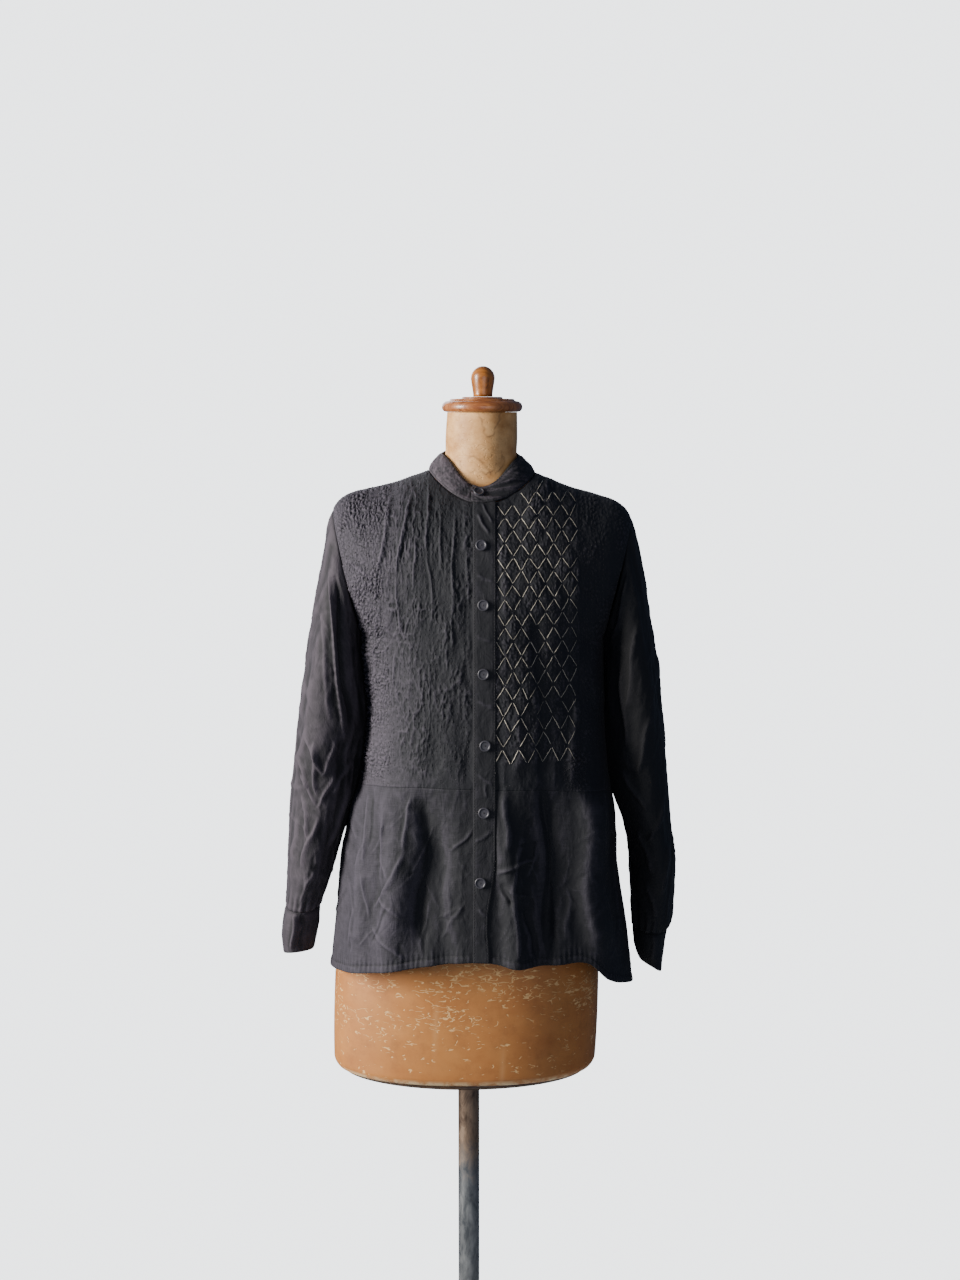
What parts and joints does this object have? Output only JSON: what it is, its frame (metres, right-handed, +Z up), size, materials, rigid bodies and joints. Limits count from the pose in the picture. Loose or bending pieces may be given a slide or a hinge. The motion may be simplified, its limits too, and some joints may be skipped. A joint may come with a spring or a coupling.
{
  "type": "embroidered blouse on a limbless dress form",
  "caption": "Dark cotton blouse with embroidered upper fronts, a stand collar and long sleeves, worn by a limbless dress form that stands on a pole and a round foot.",
  "frame": {"origin": "middle of the round foot's underside, on the floor under the pole", "axes": "+Z up along the pole, the blouse's front faces -Y, the wearer's left sleeve is at +X"},
  "size_m": [0.5012, 0.4, 1.4866],
  "materials": {
    "dark_cotton": "plain woven washed cotton, matt, charcoal with a faint brown cast",
    "embroidered_cotton": "the same cotton, puckered by dark embroidery, with pale stitches on the wearer's left",
    "dark_button": "satin charcoal buttons with a raised rim",
    "form_skin": "aged caramel skin over papier-mache, scuffed and stained",
    "turned_wood": "turned and varnished, reddish brown",
    "board_wood": "dark stained board",
    "pipe_steel": "weathered steel pipe",
    "foot_iron": "dark painted casting"
  },
  "bodies": {
    "root": {"front_right_upper": "embroidered_cotton", "front_left_upper": "embroidered_cotton", "front_right_lower": "dark_cotton", "front_left_lower": "dark_cotton", "back": "dark_cotton", "placket": "dark_cotton", "collar": "dark_cotton", "sleeve_right": "dark_cotton", "sleeve_left": "dark_cotton", "cuff_right": "dark_cotton", "cuff_left": "dark_cotton", "button_1": "dark_button", "button_2": "dark_button", "button_3": "dark_button", "button_4": "dark_button", "button_5": "dark_button", "button_6": "dark_button", "button_7": "dark_button", "form_torso": "form_skin", "neck_cap": "turned_wood", "knob": "turned_wood", "bottom_board": "board_wood", "pole": "pipe_steel", "base": "foot_iron"}
  },
  "joints": []
}
